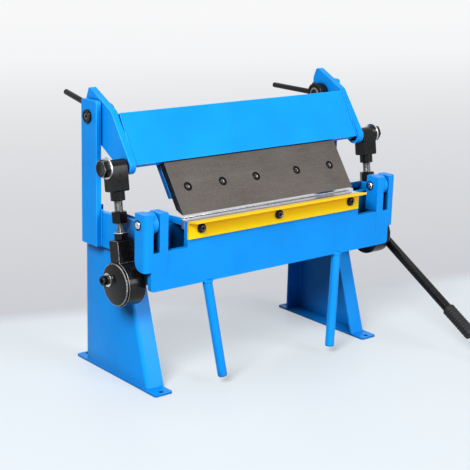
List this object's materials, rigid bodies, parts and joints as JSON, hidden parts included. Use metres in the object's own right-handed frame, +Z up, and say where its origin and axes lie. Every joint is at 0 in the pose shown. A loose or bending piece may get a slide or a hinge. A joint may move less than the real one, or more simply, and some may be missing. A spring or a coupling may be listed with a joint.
{
  "type": "sheet metal brake",
  "caption": "Bench sheet metal brake with a hinged bending apron and a clamping beam that eccentric links and a hand lever pull down on the bed.",
  "frame": {"origin": "on the floor under the middle of the overall box", "axes": "+X across the machine to the lever side, +Y from the apron to the back, +Z up"},
  "size_m": [0.517, 0.386, 0.3882],
  "materials": {
    "blue_paint": "gloss powder coat",
    "yellow_paint": "gloss powder coat",
    "blade_steel": "dark ground steel",
    "bare_steel": "ground",
    "bright_zinc": "turned",
    "black_oxide": "black oxide",
    "black_grip": "matte"
  },
  "bodies": {
    "frame": {"stand_left": "blue_paint", "stand_right": "blue_paint", "foot_left": "blue_paint", "foot_right": "blue_paint", "cheek_left": "blue_paint", "cheek_right": "blue_paint", "post_left": "blue_paint", "post_right": "blue_paint", "hinge_pin_left": "bright_zinc", "hinge_pin_right": "bright_zinc", "shaft_bush_left": "bright_zinc", "shaft_bush_right": "bright_zinc", "pivot_bolt_left": "black_oxide", "pivot_bolt_right": "black_oxide", "bed_top": "bare_steel", "bed_front_plate": "blue_paint", "bed_rear_plate": "blue_paint"},
    "apron": {"apron_plate": "blue_paint", "apron_end_left": "blue_paint", "apron_end_right": "blue_paint", "edge_bar": "bare_steel", "edge_angle": "yellow_paint", "angle_screw_1": "black_oxide", "angle_screw_2": "black_oxide", "angle_screw_3": "black_oxide", "handle_left": "blue_paint", "handle_right": "blue_paint"},
    "upper_beam": {"beam_side_left": "blue_paint", "beam_side_right": "blue_paint", "beam_face_plate": "blue_paint", "beam_shelf": "blue_paint", "blade": "blade_steel", "blade_holder": "blue_paint", "blade_screw_1": "black_oxide", "blade_screw_2": "black_oxide", "blade_screw_3": "black_oxide", "blade_screw_4": "black_oxide", "blade_screw_5": "black_oxide"},
    "clamp_shaft_set": {"clamp_shaft": "bright_zinc", "eccentric_left": "black_oxide", "eccentric_right": "black_oxide", "end_bolt_left": "black_oxide", "end_bolt_right": "black_oxide", "lever_hub": "black_oxide", "lever_bar": "black_oxide", "lever_grip": "black_grip"},
    "setback_left": {"setback_left_hub": "black_oxide", "setback_left_rod": "black_oxide"},
    "setback_right": {"setback_right_hub": "black_oxide", "setback_right_rod": "black_oxide"},
    "link_left": {"link_rod_left": "black_oxide", "lock_nut_left": "black_oxide", "adjuster_left": "black_oxide", "clevis_left": "black_oxide", "clevis_bolt_left": "black_oxide"},
    "link_right": {"link_rod_right": "black_oxide", "lock_nut_right": "black_oxide", "adjuster_right": "black_oxide", "clevis_right": "black_oxide", "clevis_bolt_right": "black_oxide"}
  },
  "joints": [
    {"name": "apron_fold", "type": "hinge", "parent": "frame", "child": "apron", "pos_m": [-0.00915, -0.02967, 0.2327], "axis": [-1, 0, 0], "range_deg": [0, 120]},
    {"name": "lever_swing", "type": "hinge", "parent": "frame", "child": "clamp_shaft_set", "pos_m": [-0.00915, 0.01373, 0.1531], "axis": [-1, 0, 0], "range_deg": [-5, 60]},
    {"name": "beam_lift", "type": "hinge", "parent": "frame", "child": "upper_beam", "pos_m": [-0.00915, 0.09303, 0.3525], "axis": [-1, 0, 0], "range_deg": [-1.1, 12.2]},
    {"name": "link_swing_left", "type": "hinge", "parent": "clamp_shaft_set", "child": "link_left", "pos_m": [-0.23285, -0.00094, 0.14998], "axis": [1, 0, 0], "range_deg": [-5.5, 65.3]},
    {"name": "link_swing_right", "type": "hinge", "parent": "clamp_shaft_set", "child": "link_right", "pos_m": [0.21455, -0.00094, 0.14998], "axis": [1, 0, 0], "range_deg": [-5.5, 65.3]},
    {"name": "setback_turn_left", "type": "hinge", "parent": "upper_beam", "child": "setback_left", "pos_m": [-0.20015, 0.09303, 0.3525], "axis": [-1, 0, 0], "range_deg": [-45, 45]},
    {"name": "setback_turn_right", "type": "hinge", "parent": "upper_beam", "child": "setback_right", "pos_m": [0.18185, 0.09303, 0.3525], "axis": [-1, 0, 0], "range_deg": [-45, 45]}
  ],
  "couplings": [
    {"joint": "beam_lift", "follows": "lever_swing", "ratio": 0.2022},
    {"joint": "link_swing_left", "follows": "lever_swing", "ratio": 1.0865},
    {"joint": "link_swing_right", "follows": "lever_swing", "ratio": 1.0865}
  ]
}
